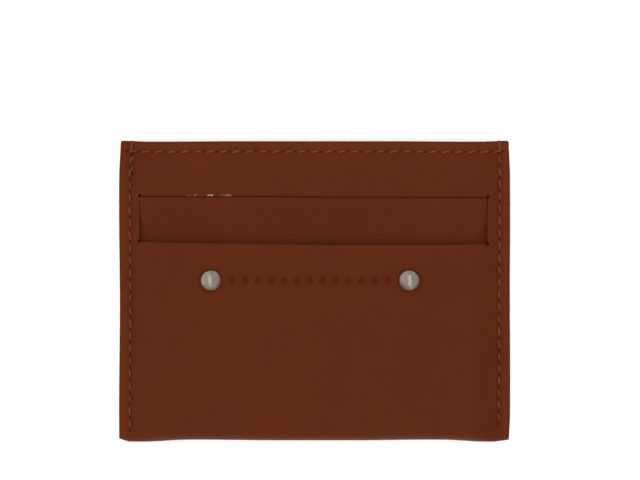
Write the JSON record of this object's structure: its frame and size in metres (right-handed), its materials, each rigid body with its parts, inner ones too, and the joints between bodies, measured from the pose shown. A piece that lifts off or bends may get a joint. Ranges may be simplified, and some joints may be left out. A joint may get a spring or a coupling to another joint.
{
  "type": "minimalist wallet",
  "caption": "Slim folded leather wallet with a card window in each face, a banknote pocket open at the top edge, stitched seams and domed rivets.",
  "frame": {"origin": "middle of the footprint, on the surface that the back of the wallet rests on", "axes": "+Z out of the face with the rivets, +Y out of the mouth of the banknote pocket, +X along the width, to the right when the rivets face the viewer and the mouth is up"},
  "size_m": [0.097, 0.0749, 0.0087],
  "materials": {
    "outer_leather": "smooth matte chestnut, burnished edges",
    "lining_leather": "smooth matte, slightly darker than the outer leather",
    "thread": "waxed tan thread",
    "rivet_metal": "antique nickel, satin"
  },
  "bodies": {
    "root": {"outer_leather": "outer_leather", "front_lining": "lining_leather", "back_lining": "lining_leather", "front_top_stitching": "thread", "back_top_stitching": "thread", "left_seam_stitching": "thread", "right_seam_stitching": "thread", "left_rivet_cap": "rivet_metal", "left_rivet_base": "rivet_metal", "right_rivet_cap": "rivet_metal", "right_rivet_base": "rivet_metal"}
  },
  "joints": []
}
